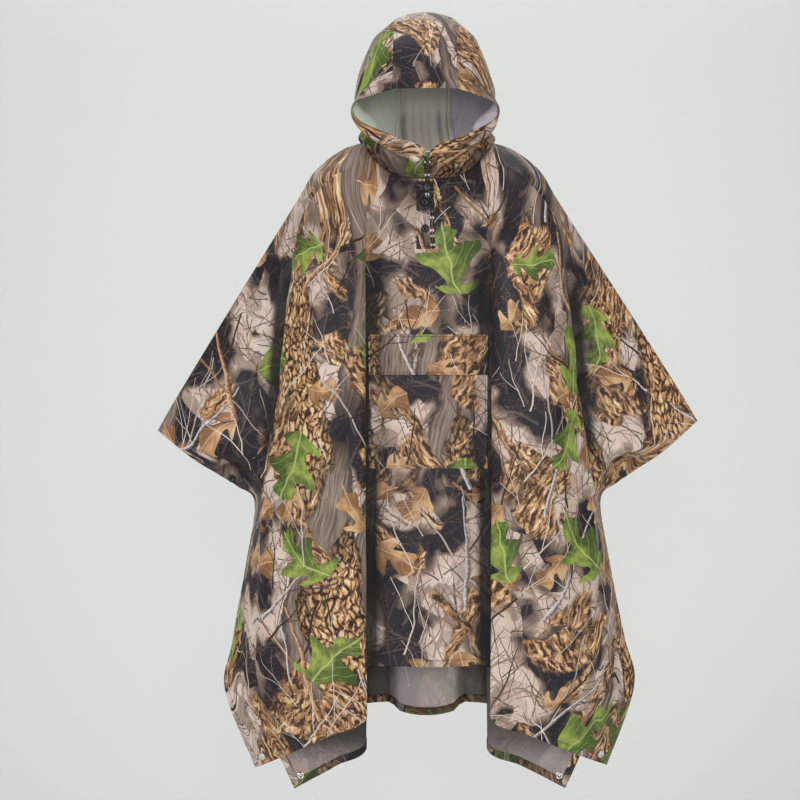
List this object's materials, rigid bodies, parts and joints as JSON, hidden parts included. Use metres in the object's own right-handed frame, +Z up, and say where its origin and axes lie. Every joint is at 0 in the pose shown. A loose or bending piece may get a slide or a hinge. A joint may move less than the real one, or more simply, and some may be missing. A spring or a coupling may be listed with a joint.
{
  "type": "hooded rain poncho",
  "caption": "Woodland-print hooded rain poncho in its worn, filled-out shape with no wearer, with a chest pocket, a short snapped placket and snapped sleeves.",
  "frame": {"origin": "on the middle plane between front and back, at the height where the poncho rests on the wearer's shoulders", "axes": "+Z up, +X to the viewer's right when the front is looked at, the front faces -Y"},
  "size_m": [1.024, 0.3571, 1.4909],
  "materials": {
    "printed_cloth": "printed coated polyester, woodland pattern",
    "snap_plastic": "black moulded plastic",
    "cord": "black braided cord with pale flecks",
    "grommet_metal": "bright nickel-plated brass"
  },
  "bodies": {
    "root": {"front_panel": "printed_cloth", "back_panel": "printed_cloth", "back_hem": "printed_cloth", "hood_left": "printed_cloth", "hood_right": "printed_cloth", "hood_crown": "printed_cloth", "hood_casing_left": "printed_cloth", "hood_casing_right": "printed_cloth", "chest_pocket": "printed_cloth", "pocket_flap": "printed_cloth", "placket": "printed_cloth", "placket_snap_upper": "snap_plastic", "placket_snap_lower": "snap_plastic", "cuff_snap_cap_left": "snap_plastic", "cuff_snap_socket_left": "snap_plastic", "cuff_snap_cap_right": "snap_plastic", "cuff_snap_socket_right": "snap_plastic", "drawcord_left": "cord", "drawcord_right": "cord", "cord_lock": "snap_plastic", "grommet_front_left": "grommet_metal", "grommet_front_right": "grommet_metal", "grommet_back_left": "grommet_metal", "grommet_back_right": "grommet_metal"}
  },
  "joints": []
}
